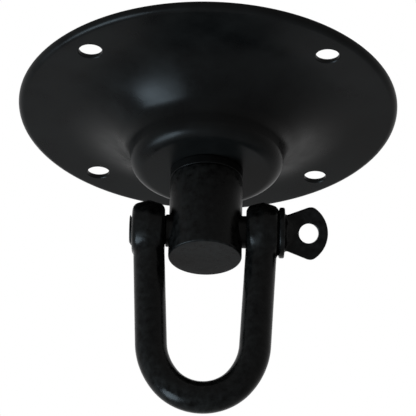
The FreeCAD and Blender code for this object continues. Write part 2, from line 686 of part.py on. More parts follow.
# Screw pin
def make_screw_pin():
    body = new_body("screw_pin", PIN_AXIS)
    tilt = FreeCAD.Rotation(FreeCAD.Vector(1, 0, 0), size("Sizes.wing_tilt"))
    body.Placement = FreeCAD.Placement(body.Placement.Base, tilt)
    body.setExpression("Placement.Rotation.Angle", "Sizes.wing_tilt * 1 deg")
    wing = new_sketch(body, "wing_outline", "XZ_Plane")
    corner_x = f"({COLLAR_END} + Sizes.wing_flank_length)"
    bulge = "(Sizes.wing_length - Sizes.wing_flank_length)"
    arc_radius = f"((Sizes.wing_corner_height ^ 2 + {bulge} ^ 2) / 2 / {bulge})"
    neck_half = "Sizes.pin_neck_radius"
    corner_half = "Sizes.wing_corner_height"
    places = [
        (COLLAR_END, f"-{neck_half}"),
        (corner_x, f"-{corner_half}"),
        (corner_x, corner_half),
        (COLLAR_END, neck_half),
    ]
    points = [FreeCAD.Vector(size(across), size(up), 0) for across, up in places]
    crown = FreeCAD.Vector(size(f"{corner_x} + {bulge}"), 0, 0)
    edges = [
        Part.LineSegment(points[0], points[1]),
        Part.Arc(points[1], crown, points[2]),
        Part.LineSegment(points[2], points[3]),
        Part.LineSegment(points[3], points[0]),
    ]
    for edge in edges:
        wing.addGeometry(edge, False)
    for index in range(len(edges)):
        onward = (index + 1) % len(edges)
        wing.addConstraint(Sketcher.Constraint("Coincident", index, END, onward, START))
    for index, point, place in ((0, START, 0), (0, END, 1), (2, START, 2), (2, END, 3)):
        hold(wing, index, point, *places[place])
    bind(wing, "Radius", 1, to=arc_radius)
    blade = pad(body, "wing", wing, "Sizes.wing_thickness", symmetric=True)
    corners = [
        f"Edge{index}"
        for index, edge in enumerate(blade.Shape.Edges, start=1)
        if edge.Length < size("Sizes.wing_thickness") + TINY
        and isinstance(edge.Curve, Part.Line)
        and edge.CenterOfMass.x > size(f"{corner_x} - Sizes.wing_corner_round")
    ]
    blade = fillet(body, "wing_corners", blade, corners, "Sizes.wing_corner_round")
    half_thickness = size("Sizes.wing_thickness") / 2
    rims = [
        f"Edge{index}"
        for index, edge in enumerate(blade.Shape.Edges, start=1)
        if abs(abs(edge.CenterOfMass.y) - half_thickness) < TINY
        and edge.CenterOfMass.x > size(COLLAR_END) + TINY
    ]
    fillet(body, "wing_rims", blade, rims, "Sizes.wing_edge_round")
    shank = new_sketch(body, "shank_outline", "XZ_Plane")
    far_end = f"(-{EYE_OUTSIDE} - Sizes.pin_end_stand)"
    shoulder = f"(-{EYE_INSIDE} + Sizes.pin_shoulder_gap)"
    thread = "Sizes.pin_thread_diameter / 2"
    pin = "Sizes.pin_diameter / 2"
    collar = "Sizes.pin_collar_diameter / 2"
    taper_end = f"({COLLAR_END} + Sizes.pin_neck_taper)"
    outline(shank, [
        (far_end, "0"),
        (far_end, f"{thread} - Sizes.pin_end_chamfer"),
        (f"{far_end} + Sizes.pin_end_chamfer", thread),
        (shoulder, thread),
        (shoulder, pin),
        (COLLAR_START, pin),
        (COLLAR_START, collar),
        (COLLAR_END, collar),
        (COLLAR_END, neck_half, "Sizes.pin_neck_blend"),
        (taper_end, "Sizes.wing_thickness / 2"),
        (taper_end, "0"),
    ])
    turning = revolve(body, "shank", shank, axis="H_Axis")
    edges = circle_edges(turning, "x", collar, COLLAR_START)
    edges += circle_edges(turning, "x", collar, COLLAR_END)
    fillet(body, "collar_edges", turning, edges, "Sizes.pin_collar_edge")
    hole = new_sketch(body, "wing_hole_outline", "XZ_Plane")
    disc(hole, f"{COLLAR_END} + Sizes.wing_hole_offset", "0", "Sizes.wing_hole_diameter / 2")
    pocket(body, "wing_hole", hole)


def check_and_export():
    """Solve all once more, stop at a failed object, otherwise write each node to its own file."""
    sheet.touch()
    doc.recompute()
    for item in doc.Objects:
        if "Invalid" in item.State or "Error" in item.State:
            raise RuntimeError(f"{item.Label} failed: {item.State}")
    os.makedirs("parts", exist_ok=True)
    for node in nodes:
        shape = node.Shape
        if shape.isNull() or not shape.isValid() or not shape.Solids:
            raise RuntimeError(f"{node.Label} has no valid solid")
        shape.exportStep(os.path.join("parts", f"{node.Label}.step"))
        box = shape.optimalBoundingBox()
        print(f"{node.Label:22s} solids {len(shape.Solids)} volume {shape.Volume:10.1f} "
              f"z {box.ZMin:8.2f} to {box.ZMax:8.2f}  x {box.XMin:8.2f} to {box.XMax:8.2f}")


make_ceiling_plate()
make_bearing()
make_spindle()
make_washers()
make_castle_nut()
make_split_pin()
make_shackle()
make_screw_pin()
check_and_export()
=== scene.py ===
import math

import bmesh
import bpy
import numpy as np
from mathutils import Matrix, Vector


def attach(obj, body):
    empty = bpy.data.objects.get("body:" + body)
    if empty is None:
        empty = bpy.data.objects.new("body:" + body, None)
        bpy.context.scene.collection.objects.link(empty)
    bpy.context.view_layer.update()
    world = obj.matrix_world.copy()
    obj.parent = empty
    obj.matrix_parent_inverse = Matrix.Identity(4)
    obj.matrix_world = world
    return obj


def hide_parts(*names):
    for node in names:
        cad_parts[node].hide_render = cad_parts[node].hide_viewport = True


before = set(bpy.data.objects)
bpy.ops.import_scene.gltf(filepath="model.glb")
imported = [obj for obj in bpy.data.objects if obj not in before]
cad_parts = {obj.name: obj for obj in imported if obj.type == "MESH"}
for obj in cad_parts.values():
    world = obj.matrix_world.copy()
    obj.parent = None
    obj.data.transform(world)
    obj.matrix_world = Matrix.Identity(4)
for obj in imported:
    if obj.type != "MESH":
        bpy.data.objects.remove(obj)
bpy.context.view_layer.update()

MM = 0.001

# Meshes: steps in millimetres, edges in degrees, segments to a full turn
LONGEST_STEP = 4.0
PLATE_STEP = 3.0
CUTTER_STEP = 5.0
SHACKLE_STEP = 0.7
PIN_HEAD_STEP = 0.4
STEPS_PER_PITCH = 10
ARC_STEP = math.radians(4)
FEWEST_ARC_STEPS = 3
SHARP_EDGE = 35.0
EYE_SHARP_EDGE = 30.0
NO_SHARP_EDGE = 180.0
PLATE_SEGMENTS = 288
SPINDLE_SEGMENTS = 192
ROD_SEGMENTS = 128
EYE_HOLE_SEGMENTS = 96
HOLE_SEGMENTS = 64
AXIS_REACH = 1e-6
ANGLE_SLACK = 1e-9
FIELD_MARGIN = 1.5
CUTTER_MARGIN = 1.0
CROSS_CUTTER_REACH = 20.0
OVERLAP = 0.5
RELAX_ROUNDS = 6
SETTLE_ROUNDS = 4
LEAST_SLOPE = 0.05

# Plate, in millimetres and degrees
PLATE_RADIUS = 75.0
SHEET = 2.0
LIP_HEIGHT = 1.2
LIP_BEND = 2.6
RIM_EDGE = 0.45
FLARE_RADIUS = 45.6
FLARE_BEND = 35.0
NECK_RADIUS = 30.9
NECK_LEVEL = -15.3
NECK_BEND = 11.0
FLOOR_RADIUS = 29.3
FLOOR_LEVEL = -27.5
SHOULDER_BEND = 6.0
SPINDLE_HOLE_RADIUS = 9.0
SPINDLE_HOLE_EDGE = 0.25
SCREW_CIRCLE_RADIUS = 63.5
SCREW_HOLE_RADIUS = 4.5
SCREW_HOLE_EDGE = 0.3
SCREW_HOLE_COUNT = 4
FIRST_SCREW_TURN = 45

# Spindle and guide washer
SPINDLE_RADIUS = 14.1
SPINDLE_EDGE = 0.8
SPINDLE_BOTTOM = -65.6
SPINDLE_SHOULDER = -31.3
WASHER_TOP = -27.8
WASHER_BORE = 8.65
WASHER_BORE_EDGE = 0.2
WASHER_EDGE = 0.3
JOURNAL_RADIUS = 8.48
JOURNAL_TOP = -17.0
THREAD_RADIUS = 8.0
THREAD_DEPTH_SHARE = 0.61
SPINDLE_PITCH = 2.0
SPINDLE_TOP = -1.8
SPINDLE_CHAMFER = 1.2
SPLIT_HOLE_RADIUS = 1.75
SPLIT_HOLE_LEVEL = -4.6

# Shackle
PIN_LEVEL = -53.9
ROD_RADIUS = 6.0
LEG_OFFSET = 21.9
LEG_LEAN = math.radians(2.85)
BOW_DEPTH = 70.1
BOW_HALVINGS = 60
TIP_RADIUS = 17.6
SIDE_RADIUS = 26.0
EYE_RADIUS = 11.7
EYE_HALF_WIDTH = 6.3
EYE_DRAFT = math.radians(16.0)
EYE_RIDGE_HALF = 0.41
EYE_ROUND = 3.0
EYE_BLEND = 3.5
EYE_SIDE_BLEND = 0.4
PLAIN_HOLE_RADIUS = 6.35
THREADED_HOLE_RADIUS = 6.1
HOLE_EDGE = 0.5

# Screw pin
PIN_RADIUS = 6.25
PIN_EDGE = 0.4
PIN_THREAD_RADIUS = 6.0
PIN_PITCH = 1.75
PIN_END = -29.2
PIN_END_EDGE = 1.0
PIN_SHOULDER = -15.3
COLLAR_START = 28.3
COLLAR_END = 30.4
COLLAR_RADIUS = 9.8
COLLAR_EDGE = 0.6
COLLAR_BLEND = 1.2
PIN_NECK_HALF = 6.6
PIN_NECK_TAPER = 5.4
PIN_NECK_BLEND = 1.5
WING_HALF_THICKNESS = 2.75
WING_CORNER_X = 40.7
WING_CORNER_HALF = 10.5
WING_CORNER_BLEND = 1.4
WING_END = 47.1
WING_EDGE = 1.1
WING_HOLE_X = 39.7
WING_HOLE_RADIUS = 3.8
WING_HOLE_EDGE = 0.6
WING_TILT = math.radians(29.0)
PIN_HEAD_REACH = 12.0
PIN_HEAD_MARGIN = 1.0

# Materials: noise as scale per metre and detail, bumps with a height in millimetres
NOISE_LOW = 0.3
NOISE_HIGH = 0.7
NOISE_ROUGHNESS = 0.6
PAINT_IOR = 1.13
PAINT_COLOUR = (0.003, 0.003, 0.003)
PAINT_GLOSS_SHARES = (0.75, 1.35)
SMOOTH_PATCHES = (60.0, 5.0)
SMOOTH_TONES = (0.0016, 0.0042)
ROUGH_PATCHES = (380.0, 5.0)
ROUGH_TONES = (0.0005, 0.0070)
TONE_WARMTH = 0.95
ORANGE_PEEL = (900.0, 2.0, 0.012)
DENTS = (160.0, 3.0, 0.09)
PITS = (520.0, 2.0, 0.022)
# Painted highlight: sharp edges get this lighter colour, which stands in for the glints along them
EDGE_HIGHLIGHT_COLOUR = (0.03, 0.03, 0.031)
EDGE_HIGHLIGHT_START = 0.53
EDGE_HIGHLIGHT_END = 0.62
EDGE_HIGHLIGHT_RUFFLE = (350.0, 5.0)
EDGE_HIGHLIGHT_RUFFLE_SIZE = 0.012
STEEL_GLOSS_SHARES = (0.75, 1.4)
STEEL_PATCHES = (90.0, 4.0)
STEEL_DARKER = 0.8
STEEL_MARKS = (1500.0, 3.0, 0.008)

# Stage, in metres; the glow is what a floor seen directly adds, near the object and at the horizon
STAGE_REACH = 40.0
STAGE_LEVEL = -2.4
STAGE_COLOUR = (0.85, 0.85, 0.85)
STAGE_ROUGHNESS = 0.8
FADE_START = 6.0
FADE_END = 11.5
NEAR_GLOW = 0.6
FAR_GLOW = 0.77
SOFT_LIGHT = 0.27

# Camera, in metres, fitted to the plate's outline, its holes and the pin
CAMERA_TARGET = Vector((0.000812, 0.0, -0.0435))
CAMERA_DISTANCE = 0.84055
CAMERA_PITCH = math.radians(29.755)
CAMERA_ROLL = math.radians(1.179)
CAMERA_LENS = 187.9
CAMERA_SENSOR = 36.0
CAMERA_CLIP = 0.05


# Profiles
def rounded(corners):
    """Polyline through corners (across, up, radius) with its corners rounded."""
    points = []
    for index, (across, up, radius) in enumerate(corners):
        place = Vector((across, up))
        if radius <= 0.0:
            points.append(place)
            continue
        back = (Vector(corners[index - 1][:2]) - place).normalized()
        onward = (Vector(corners[(index + 1) % len(corners)][:2]) - place).normalized()
        half = back.angle(onward) / 2
        centre = place + (back + onward).normalized() * (radius / math.sin(half))
        start = place + back * (radius / math.tan(half)) - centre
        sweep = (place + onward * (radius / math.tan(half)) - centre).angle_signed(start)
        steps = max(FEWEST_ARC_STEPS, math.ceil(abs(sweep) / ARC_STEP))
        for step in range(steps + 1):
            points.append(centre + Matrix.Rotation(sweep * step / steps, 2) @ start)
    return points


def refined(points, longest):
    """The same closed polyline with no step longer than the given length."""
    fine = []
    for index, start in enumerate(points):
        end = points[(index + 1) % len(points)]
        steps = max(1, math.ceil((end - start).length / longest))
        fine += [start.lerp(end, step / steps) for step in range(steps)]
    return fine


# Meshes
def new_object(name, vertices, faces, sharp):
    """Object from points in millimetres, smooth but for edges sharper than the given angle."""
    mesh = bpy.data.meshes.new(name)
    mesh.from_pydata([(x * MM, y * MM, z * MM) for x, y, z in vertices], [], faces)
    mesh.validate()
    mesh.update()
    item = bpy.data.objects.new(name, mesh)
    bpy.context.scene.collection.objects.link(item)
    smooth_shade(item, sharp)
    face_outward(item)
    return item


def smooth_shade(item, sharp):
    """Smooth faces with hard edges above an angle in degrees."""
    item.data.shade_smooth()
    item.data.set_sharp_from_angle(angle=math.radians(sharp))


def face_outward(item):
    """Turn every face outward."""
    work = bmesh.new()
    work.from_mesh(item.data)
    bmesh.ops.recalc_face_normals(work, faces=work.faces)
    work.to_mesh(item.data)
    work.free()


def lathe(name, corners, segments, longest=LONGEST_STEP, along_x=False, sharp=SHARP_EDGE):
    """Closed outline (radius, level) turned about Z, or about the pin's axis."""
    points = refined(rounded(corners), longest)
    on_axis = [abs(point.x) < AXIS_REACH for point in points]
    vertices = []
    rings = []
    for point, central in zip(points, on_axis):
        rings.append(len(vertices))
        for segment in range(1 if central else segments):
            turn = 2 * math.pi * segment / segments
            across = point.x * math.cos(turn)
            side = point.x * math.sin(turn)
            place = (point.y, across, side + PIN_LEVEL) if along_x else (across, side, point.y)
            vertices.append(place)

    def on_ring(index, *places):
        """Vertices of a ring, or the one vertex where the outline is on the axis."""
        return [rings[index]] if on_axis[index] else [rings[index] + place for place in places]

    faces = []
    for index in range(len(points)):
        following = (index + 1) % len(points)
        if on_axis[index] and on_axis[following]:
            continue
        for segment in range(segments):
            onward = (segment + 1) % segments
            faces.append(on_ring(index, segment, onward) + on_ring(following, onward, segment))
    return new_object(name, vertices, faces, sharp)


def cut(item, cutter, sharp=SHARP_EDGE):
    """Cut the cutter's volume out of an item for good."""
    bpy.context.view_layer.update()
    modifier = item.modifiers.new("cut", "BOOLEAN")
    modifier.operation = "DIFFERENCE"
    modifier.solver = "EXACT"
    modifier.object = cutter
    graph = bpy.context.evaluated_depsgraph_get()
    mesh = bpy.data.meshes.new_from_object(item.evaluated_get(graph))
    item.modifiers.clear()
    item.data = mesh
    bpy.data.objects.remove(cutter)
    smooth_shade(item, sharp)


def plug_corners(radius, low, high, edge):
    """Outline of a plug that leaves a hole with small bevels at both mouths."""
    wide = radius + edge + CUTTER_MARGIN
    return [
        (0.0, low - CUTTER_MARGIN, 0.0),
        (wide, low - CUTTER_MARGIN, 0.0),
        (radius, low + edge, 0.0),
        (radius, high - edge, 0.0),
        (wide, high + CUTTER_MARGIN, 0.0),
        (0.0, high + CUTTER_MARGIN, 0.0),
    ]


# Forms given by a distance field
def field_surface(name, field, low, high, step):
    """Even quads on the surface where the field is zero, each corner moved onto it."""
    axes = [np.arange(start, end + step, step) for start, end in zip(low, high)]
    shape = tuple(len(axis) for axis in axes)
    grid = np.stack(np.meshgrid(*axes, indexing="ij"), -1).reshape(-1, 3)
    inside = field(grid).reshape(shape) < 0
    corner_sum = np.zeros(tuple(length - 1 for length in shape), int)
    for i in (0, 1):
        for j in (0, 1):
            for k in (0, 1):
                corner_sum += inside[i:shape[0] - 1 + i, j:shape[1] - 1 + j, k:shape[2] - 1 + k]
    mixed = (corner_sum > 0) & (corner_sum < 8)
    number = np.full(mixed.shape, -1)
    number[mixed] = np.arange(mixed.sum())
    cells = np.argwhere(mixed)
    points = np.array(low) + (cells + 0.5) * step
    faces = []
    for axis in range(3):
        first = inside.take(range(shape[axis] - 1), axis)
        second = inside.take(range(1, shape[axis]), axis)
        crossing = np.argwhere(first != second)
        others = [other for other in range(3) if other != axis]
        for spot in crossing:
            if min(spot[others[0]], spot[others[1]]) < 1:
                continue
            quad = []
            for back_a, back_b in ((0, 0), (1, 0), (1, 1), (0, 1)):
                cell = spot.copy()
                cell[others[0]] -= back_a
                cell[others[1]] -= back_b
                quad.append(int(number[tuple(cell)]))
            faces.append(quad)
    for _ in range(RELAX_ROUNDS):
        points = relaxed(points, faces)
        points = settled(points, field)
    return new_object(name, points.tolist(), faces, NO_SHARP_EDGE)


def relaxed(points, faces):
    """Each point moved half way to the mean of its neighbours."""
    quads = np.array(faces)
    total = np.zeros_like(points)
    weight = np.zeros(len(points))
    for start, end in ((0, 1), (1, 2), (2, 3), (3, 0)):
        np.add.at(total, quads[:, start], points[quads[:, end]])
        np.add.at(total, quads[:, end], points[quads[:, start]])
        np.add.at(weight, quads[:, start], 1)
        np.add.at(weight, quads[:, end], 1)
    return points + 0.5 * (total / weight[:, None] - points)


def settled(points, field, nudge=0.005):
    """Points moved along the field's slope onto the surface."""
    for _ in range(SETTLE_ROUNDS):
        value = field(points)
        slope = np.zeros_like(points)
        for axis in range(3):
            shift = np.zeros(3)
            shift[axis] = nudge
            slope[:, axis] = (field(points + shift) - field(points - shift)) / (2 * nudge)
        points = points - slope * (value / np.maximum((slope ** 2).sum(1), LEAST_SLOPE))[:, None]
    return points


def rounded_edge_field(a, b, edge, cosine=0.0):
    """Distance to the region inside two faces, with a rounded edge; cosine is between their normals."""
    a = a + edge
    b = b + edge
    corner = np.sqrt((a ** 2 + b ** 2 - 2 * a * b * cosine) / (1 - cosine ** 2))
    at_corner = (a > b * cosine) & (b > a * cosine)
    return np.where(at_corner, corner, np.maximum(a, b)) - edge


def smooth_union(a, b, blend):
    """Union of two fields with a blended seam."""
    share = np.clip(0.5 + 0.5 * (b - a) / blend, 0, 1)
    return b * (1 - share) + a * share - blend * share * (1 - share)


def bow_places():
    """Turn of the bow's tip arc, centres of its tip and side arcs, and where the right leg meets them."""
    spread = SIDE_RADIUS - TIP_RADIUS
    low = 0.0
    high = math.pi / 2
    for _ in range(BOW_HALVINGS):
        turn = (low + high) / 2
        drop = BOW_DEPTH - TIP_RADIUS - spread * math.cos(turn) + SIDE_RADIUS * math.sin(LEG_LEAN)
        touch = SIDE_RADIUS * math.cos(LEG_LEAN) - spread * math.sin(turn)
        if touch + drop * math.tan(LEG_LEAN) > LEG_OFFSET:
            low = turn
        else:
            high = turn
    tip = np.array([0.0, TIP_RADIUS - BOW_DEPTH])
    side = tip - np.array([math.sin(turn), -math.cos(turn)]) * spread
    touch = side + np.array([math.cos(LEG_LEAN), -math.sin(LEG_LEAN)]) * SIDE_RADIUS
    return turn, tip, side, touch


def bow_field(points):
    """Distance to the bow's centre line less the rod's radius."""
    turn, tip, side, touch = bow_places()
    across = np.abs(points[:, 0])
    up = points[:, 2] - PIN_LEVEL
    at_tip = np.arctan2(up - tip[1], across - tip[0])
    at_side = np.arctan2(up - side[1], across - side[0])
    tip_distance = np.abs(np.hypot(across - tip[0], up - tip[1]) - TIP_RADIUS)
    side_distance = np.abs(np.hypot(across - side[0], up - side[1]) - SIDE_RADIUS)
    leg = np.array([LEG_OFFSET, 0.0]) - touch
    share = ((across - touch[0]) * leg[0] + (up - touch[1]) * leg[1]) / (leg @ leg)
    share = np.clip(share, 0, 1)
    flat = np.hypot(across - touch[0] - share * leg[0], up - touch[1] - share * leg[1])
    bottom = -math.pi / 2
    on_side = (at_side >= bottom + turn) & (at_side <= -LEG_LEAN)
    on_tip = (at_tip >= bottom - ANGLE_SLACK) & (at_tip <= bottom + turn)
    flat = np.where(on_side, np.minimum(flat, side_distance), flat)
    flat = np.where(on_tip, np.minimum(flat, tip_distance), flat)
    return np.hypot(flat, points[:, 1]) - ROD_RADIUS


def eye_field(points):
    """Distance to the two eyes, whose rims fall away on both sides of a forged ridge."""
    aside = np.abs(np.abs(points[:, 0]) - LEG_OFFSET)
    soft = (aside ** 2 + EYE_RIDGE_HALF ** 2) / (2 * EYE_RIDGE_HALF)
    fall = np.where(aside < EYE_RIDGE_HALF, soft, aside) * math.tan(EYE_DRAFT)
    radius = np.hypot(points[:, 1], points[:, 2] - PIN_LEVEL)
    out = (radius - EYE_RADIUS + fall) * math.cos(EYE_DRAFT)
    return rounded_edge_field(out, aside - EYE_HALF_WIDTH, EYE_ROUND, math.sin(EYE_DRAFT))


def shackle_field(points):
    """Distance to the bow and its eyes, blended most at the front and the back."""
    bow = bow_field(points)
    front = np.clip(np.abs(points[:, 1]) / np.maximum(bow + ROD_RADIUS, 1.0), 0, 1)
    blend = EYE_SIDE_BLEND + (EYE_BLEND - EYE_SIDE_BLEND) * front ** 2
    return smooth_union(bow, eye_field(points), blend)


def pin_head_field(points):
    """Distance to the screw pin's wing, neck and collar."""
    height = points[:, 2] - PIN_LEVEL
    through = points[:, 1] * math.cos(WING_TILT) + height * math.sin(WING_TILT)
    up = height * math.cos(WING_TILT) - points[:, 1] * math.sin(WING_TILT)
    along = points[:, 0]
    slope = (WING_CORNER_HALF - PIN_NECK_HALF) / (WING_CORNER_X - COLLAR_END)
    flank = (np.abs(up) - PIN_NECK_HALF - (along - COLLAR_END) * slope) / math.hypot(1, slope)
    bulge = WING_END - WING_CORNER_X
    crown = (WING_CORNER_HALF ** 2 + bulge ** 2) / (2 * bulge)
    end = np.hypot(along - (WING_END - crown), up) - crown
    outline = -smooth_union(-flank, -end, WING_CORNER_BLEND)
    outline = np.maximum(outline, COLLAR_START - along)
    blade = rounded_edge_field(outline, np.abs(through) - WING_HALF_THICKNESS, WING_EDGE)
    radius = np.hypot(points[:, 1], height)
    taper = (PIN_NECK_HALF - WING_HALF_THICKNESS) / PIN_NECK_TAPER
    neck = (radius - PIN_NECK_HALF + (along - COLLAR_END) * taper) / math.hypot(1, taper)
    neck = np.maximum(neck, COLLAR_START - along)
    neck = np.maximum(neck, along - COLLAR_END - PIN_NECK_TAPER)
    middle = (COLLAR_START + COLLAR_END) / 2
    half_width = (COLLAR_END - COLLAR_START) / 2
    collar = rounded_edge_field(radius - COLLAR_RADIUS, np.abs(along - middle) - half_width, COLLAR_EDGE)
    body = smooth_union(blade, neck, PIN_NECK_BLEND)
    body = smooth_union(body, collar, COLLAR_BLEND)
    hole = np.hypot(along - WING_HOLE_X, up) - WING_HOLE_RADIUS
    return -smooth_union(-body, hole, WING_HOLE_EDGE)


# Pieces
def make_plate():
    """Pressed sheet with its dome, flare and turned-up rim, and its screw holes."""
    rim = PLATE_RADIUS
    corners = [
        (SPINDLE_HOLE_RADIUS, FLOOR_LEVEL, SPINDLE_HOLE_EDGE),
        (FLOOR_RADIUS, FLOOR_LEVEL, SHOULDER_BEND),
        (NECK_RADIUS, NECK_LEVEL, NECK_BEND),
        (FLARE_RADIUS, -SHEET, FLARE_BEND),
        (rim, -SHEET, LIP_BEND),
        (rim, LIP_HEIGHT, RIM_EDGE),
        (rim - SHEET, LIP_HEIGHT, RIM_EDGE),
        (rim - SHEET, 0.0, LIP_BEND - SHEET),
    ]
    outer = [Vector(corner[:2]) for corner in corners[1:4]]
    inner = offset_corners([Vector((SPINDLE_HOLE_RADIUS, FLOOR_LEVEL)), *outer, Vector((rim, -SHEET))])
    corners += [
        (inner[2].x, 0.0, FLARE_BEND - SHEET),
        (inner[1].x, inner[1].y, NECK_BEND + SHEET),
        (inner[0].x, inner[0].y, SHOULDER_BEND - SHEET),
        (SPINDLE_HOLE_RADIUS, FLOOR_LEVEL + SHEET, SPINDLE_HOLE_EDGE),
    ]
    plate = lathe("plate", corners, PLATE_SEGMENTS, PLATE_STEP)
    plug = plug_corners(SCREW_HOLE_RADIUS, -SHEET, 0.0, SCREW_HOLE_EDGE)
    across = SCREW_CIRCLE_RADIUS * MM
    for number in range(SCREW_HOLE_COUNT):
        turn = math.radians(FIRST_SCREW_TURN + 360 * number / SCREW_HOLE_COUNT)
        cutter = lathe("hole_cutter", plug, HOLE_SEGMENTS, CUTTER_STEP)
        cutter.location = (across * math.cos(turn), across * math.sin(turn), 0)
        cut(plate, cutter)
    return plate


def offset_corners(points):
    """Inner corners of a line moved by the sheet's thickness to its left."""
    corners = []
    for index in range(1, len(points) - 1):
        back = (points[index] - points[index - 1]).normalized()
        onward = (points[index + 1] - points[index]).normalized()
        left = Vector((-back.y, back.x))
        other_left = Vector((-onward.y, onward.x))
        middle = (left + other_left).normalized()
        corners.append(points[index] + middle * (SHEET / middle.dot(left)))
    return corners


def make_spindle():
    """Spindle with its journal, and its threaded top, each with a hole across."""
    corners = [
        (0.0, SPINDLE_BOTTOM, 0.0),
        (SPINDLE_RADIUS, SPINDLE_BOTTOM, SPINDLE_EDGE),
        (SPINDLE_RADIUS, SPINDLE_SHOULDER, SPINDLE_EDGE),
        (JOURNAL_RADIUS, SPINDLE_SHOULDER, 0.0),
        (JOURNAL_RADIUS, JOURNAL_TOP, 0.0),
        (0.0, JOURNAL_TOP, 0.0),
    ]
    body = lathe("spindle_body", corners, SPINDLE_SEGMENTS)
    corners = [
        (0.0, SPINDLE_TOP, 0.0),
        (THREAD_RADIUS - SPINDLE_CHAMFER, SPINDLE_TOP, 0.0),
        (THREAD_RADIUS, SPINDLE_TOP - SPINDLE_CHAMFER, 0.0),
        (THREAD_RADIUS, JOURNAL_TOP - OVERLAP, 0.0),
        (0.0, JOURNAL_TOP - OVERLAP, 0.0),
    ]
    thread = threaded_rod("spindle_thread", corners, SPINDLE_PITCH)
    for item, radius, level in (
        (body, PLAIN_HOLE_RADIUS, PIN_LEVEL),
        (thread, SPLIT_HOLE_RADIUS, SPLIT_HOLE_LEVEL),
    ):
        corners = [
            (0.0, -CROSS_CUTTER_REACH, 0.0),
            (radius, -CROSS_CUTTER_REACH, 0.0),
            (radius, CROSS_CUTTER_REACH, 0.0),
            (0.0, CROSS_CUTTER_REACH, 0.0),
        ]
        cutter = lathe("cross_cutter", corners, HOLE_SEGMENTS, along_x=True)
        cutter.location.z = (level - PIN_LEVEL) * MM
        cut(item, cutter)
    return body, thread


def threaded_rod(name, corners, pitch, along_x=False):
    """Rod turned from an outline, with a rounded screw thread cut into it."""
    rod = lathe(name, corners, ROD_SEGMENTS, pitch / STEPS_PER_PITCH, along_x, NO_SHARP_EDGE)
    widest = max(radius for radius, level, bend in corners)
    depth = THREAD_DEPTH_SHARE * pitch
    for vertex in rod.data.vertices:
        x, y, z = vertex.co / MM
        across, side, along = (y, z - PIN_LEVEL, x) if along_x else (x, y, z)
        radius = math.hypot(across, side)
        if radius < widest - depth:
            continue
        turn = along / pitch - math.atan2(side, across) / (2 * math.pi)
        groove = 0.5 - 0.5 * math.cos(2 * math.pi * turn)
        share = min(radius, widest - depth * groove) / radius
        across, side = across * share, side * share
        place = (along, across, side + PIN_LEVEL) if along_x else (across, side, along)
        vertex.co = Vector(place) * MM
    rod.data.update()
    return rod


def make_guide_washer():
    """Washer between the spindle's shoulder and the dome."""
    corners = [
        (WASHER_BORE, SPINDLE_SHOULDER, WASHER_BORE_EDGE),
        (SPINDLE_RADIUS, SPINDLE_SHOULDER, WASHER_EDGE),
        (SPINDLE_RADIUS, WASHER_TOP, WASHER_EDGE),
        (WASHER_BORE, WASHER_TOP, WASHER_BORE_EDGE),
    ]
    return lathe("washer_ring", corners, SPINDLE_SEGMENTS)


def make_shackle():
    """Forged bow with its two eyes; the right one's hole is plain and the left one's is narrower."""
    inner = LEG_OFFSET - EYE_HALF_WIDTH
    outer = LEG_OFFSET + EYE_HALF_WIDTH
    bottom = PIN_LEVEL - BOW_DEPTH - ROD_RADIUS
    low = (-outer - FIELD_MARGIN, -EYE_RADIUS - FIELD_MARGIN, bottom - FIELD_MARGIN)
    high = (outer + FIELD_MARGIN, EYE_RADIUS + FIELD_MARGIN, PIN_LEVEL + EYE_RADIUS + FIELD_MARGIN)
    shackle = field_surface("shackle_body", shackle_field, low, high, SHACKLE_STEP)
    for side, radius in ((1, PLAIN_HOLE_RADIUS), (-1, THREADED_HOLE_RADIUS)):
        plug = plug_corners(radius, inner, outer, HOLE_EDGE)
        corners = [(across, side * along, bend) for across, along, bend in plug]
        cut(shackle, lathe("eye_cutter", corners, EYE_HOLE_SEGMENTS, along_x=True), EYE_SHARP_EDGE)
    return shackle


def make_pin():
    """Screw pin: its head, its plain shank and its threaded end."""
    low = (COLLAR_START - PIN_HEAD_MARGIN, -PIN_HEAD_REACH, PIN_LEVEL - PIN_HEAD_REACH)
    high = (WING_END + PIN_HEAD_MARGIN, PIN_HEAD_REACH, PIN_LEVEL + PIN_HEAD_REACH)
    head = field_surface("pin_head", pin_head_field, low, high, PIN_HEAD_STEP)
    corners = [
        (0.0, PIN_SHOULDER, 0.0),
        (PIN_RADIUS, PIN_SHOULDER, PIN_EDGE),
        (PIN_RADIUS, COLLAR_START + OVERLAP, 0.0),
        (0.0, COLLAR_START + OVERLAP, 0.0),
    ]
    shank = lathe("pin_shank", corners, ROD_SEGMENTS, along_x=True)
    corners = [
        (0.0, PIN_END, 0.0),
        (PIN_THREAD_RADIUS, PIN_END, PIN_END_EDGE),
        (PIN_THREAD_RADIUS, PIN_SHOULDER + OVERLAP, 0.0),
        (0.0, PIN_SHOULDER + OVERLAP, 0.0),
    ]
    thread = threaded_rod("pin_thread", corners, PIN_PITCH, along_x=True)
    return head, shank, thread


# Materials
def new_material(name, colour, metallic, roughness, ior=1.5):
    """Principled material; returns it with its tree and shader."""
    material = bpy.data.materials.new(name)
    material.use_nodes = True
    tree = material.node_tree
    shader = tree.nodes["Principled BSDF"]
    shader.inputs["Base Color"].default_value = (*colour, 1)
    shader.inputs["Metallic"].default_value = metallic
    shader.inputs["Roughness"].default_value = roughness
    shader.inputs["IOR"].default_value = ior
    return material, tree, shader


def add_node(tree, kind, **sockets):
    """Node with its named input sockets set."""
    node = tree.nodes.new(kind)
    for name, value in sockets.items():
        node.inputs[name.replace("_", " ")].default_value = value
    return node


def add_math(tree, operation, first, second):
    """Result of an operation on two sockets' values."""
    node = tree.nodes.new("ShaderNodeMath")
    node.operation = operation
    tree.links.new(first, node.inputs[0])
    tree.links.new(second, node.inputs[1])
    return node.outputs["Value"]


